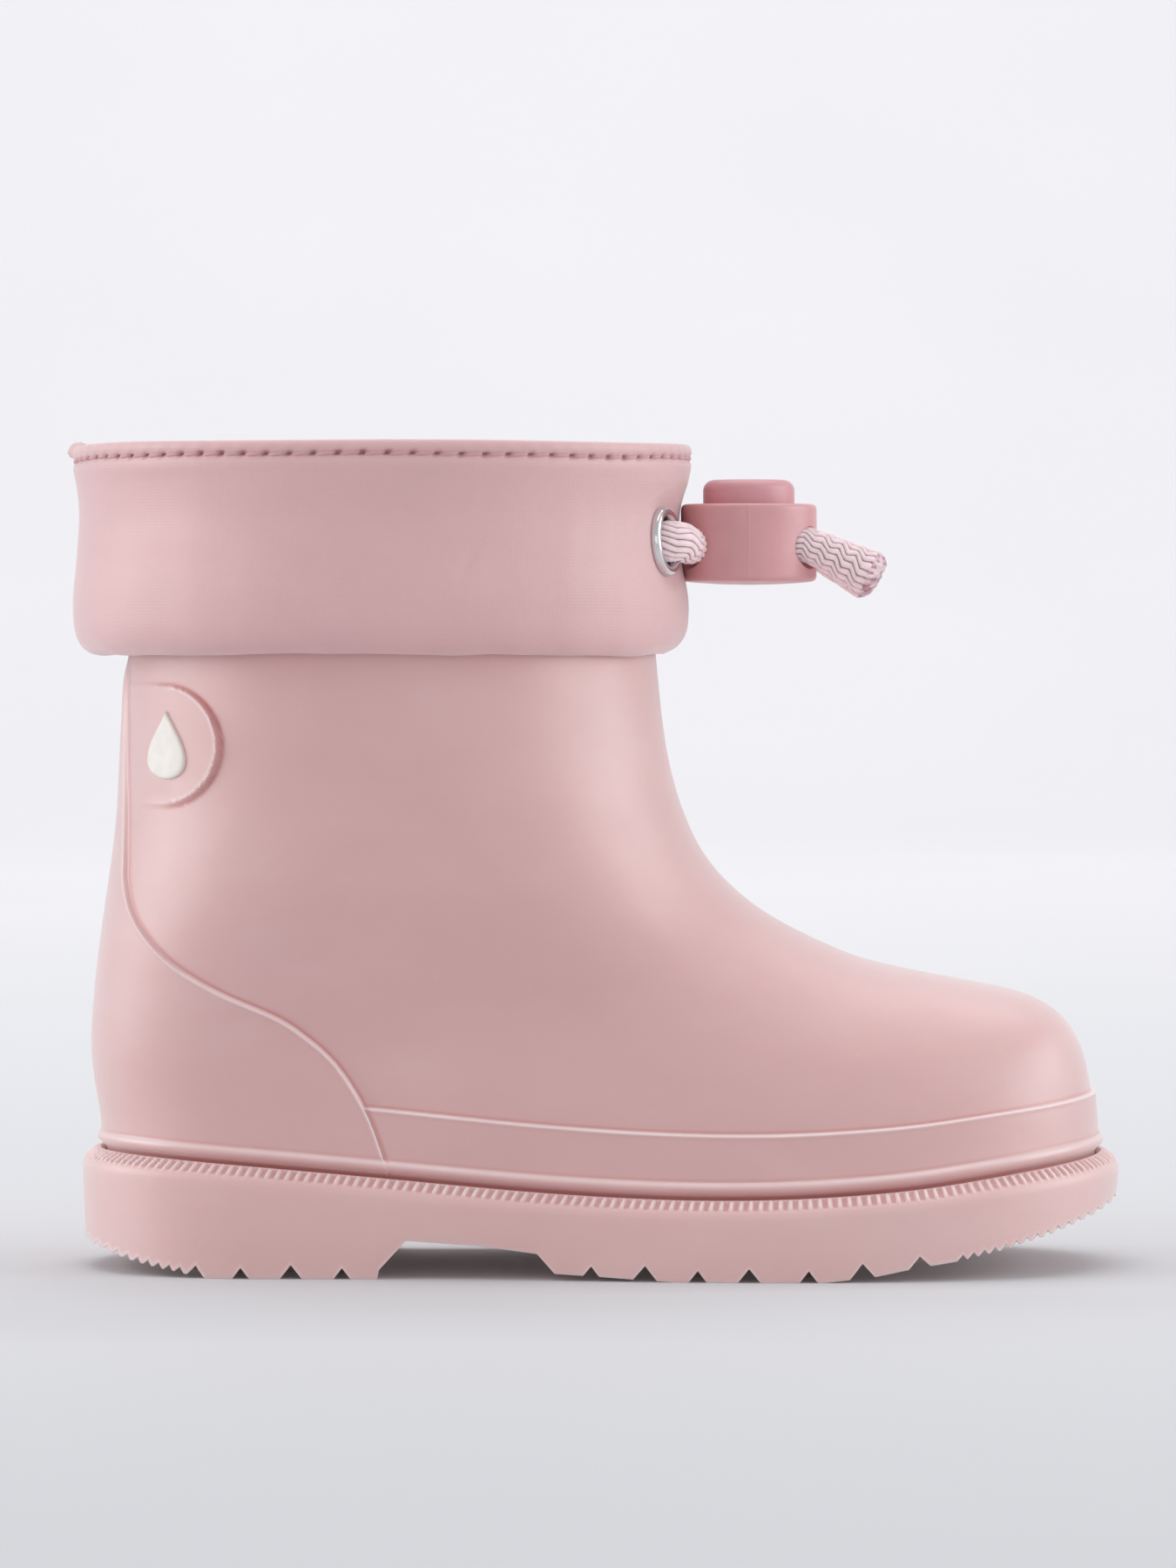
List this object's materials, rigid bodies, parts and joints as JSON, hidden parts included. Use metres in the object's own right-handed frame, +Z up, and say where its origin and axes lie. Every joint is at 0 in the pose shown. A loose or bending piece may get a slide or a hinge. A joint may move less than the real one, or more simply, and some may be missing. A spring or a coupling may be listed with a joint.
{
  "type": "child's rain boot",
  "caption": "Moulded ankle rain boot for a small child, with a ribbed lug sole and a soft drawstring cuff closed by a sprung cord lock.",
  "frame": {"origin": "floor level, under the middle of the whole boot's bounding box", "axes": "+X towards the toe, +Y towards the inner (medial) side of this right boot, +Z up"},
  "size_m": [0.1701, 0.0834, 0.1326],
  "materials": {
    "moulded_shell": "satin moulded PVC",
    "moulded_sole": "satin moulded PVC",
    "coated_cuff": "smooth coated cloth",
    "knit_lining": "fine knit",
    "insole_foam": "closed-cell foam",
    "thread": "twisted polyester",
    "braided_cord": "braided polyester",
    "lock_plastic": "fine satin",
    "plated_metal": "bright nickel plate",
    "emblem_ink": "cream rubber print"
  },
  "bodies": {
    "boot": {"boot_shell": "moulded_shell", "outsole": "moulded_sole", "lining_sock": "knit_lining", "insole_foam": "insole_foam", "insole_cover": "knit_lining", "cuff_outer": "coated_cuff", "cuff_lining": "knit_lining", "cuff_top_thread": "thread", "cuff_seam_thread": "thread", "badge_emblem": "emblem_ink", "eyelet_lateral": "plated_metal", "eyelet_medial": "plated_metal", "eyelet_washer_lateral": "plated_metal", "eyelet_washer_medial": "plated_metal", "drawcord": "braided_cord"},
    "lock": {"cord_lock_body": "lock_plastic", "cord_lock_spring": "plated_metal"},
    "button": {"cord_lock_button": "lock_plastic"}
  },
  "joints": [
    {"name": "cord_lock_slide", "type": "slide", "parent": "boot", "child": "lock", "axis": [1, 0, 0], "range_m": [0, 0.006], "deforming": ["drawcord"]},
    {"name": "button_press", "type": "slide", "parent": "lock", "child": "button", "axis": [0, 0, -1], "range_m": [0, 0.0022], "stiffness_N_per_m": 600, "springref_m": -0.0008, "deforming": ["cord_lock_spring"]}
  ]
}
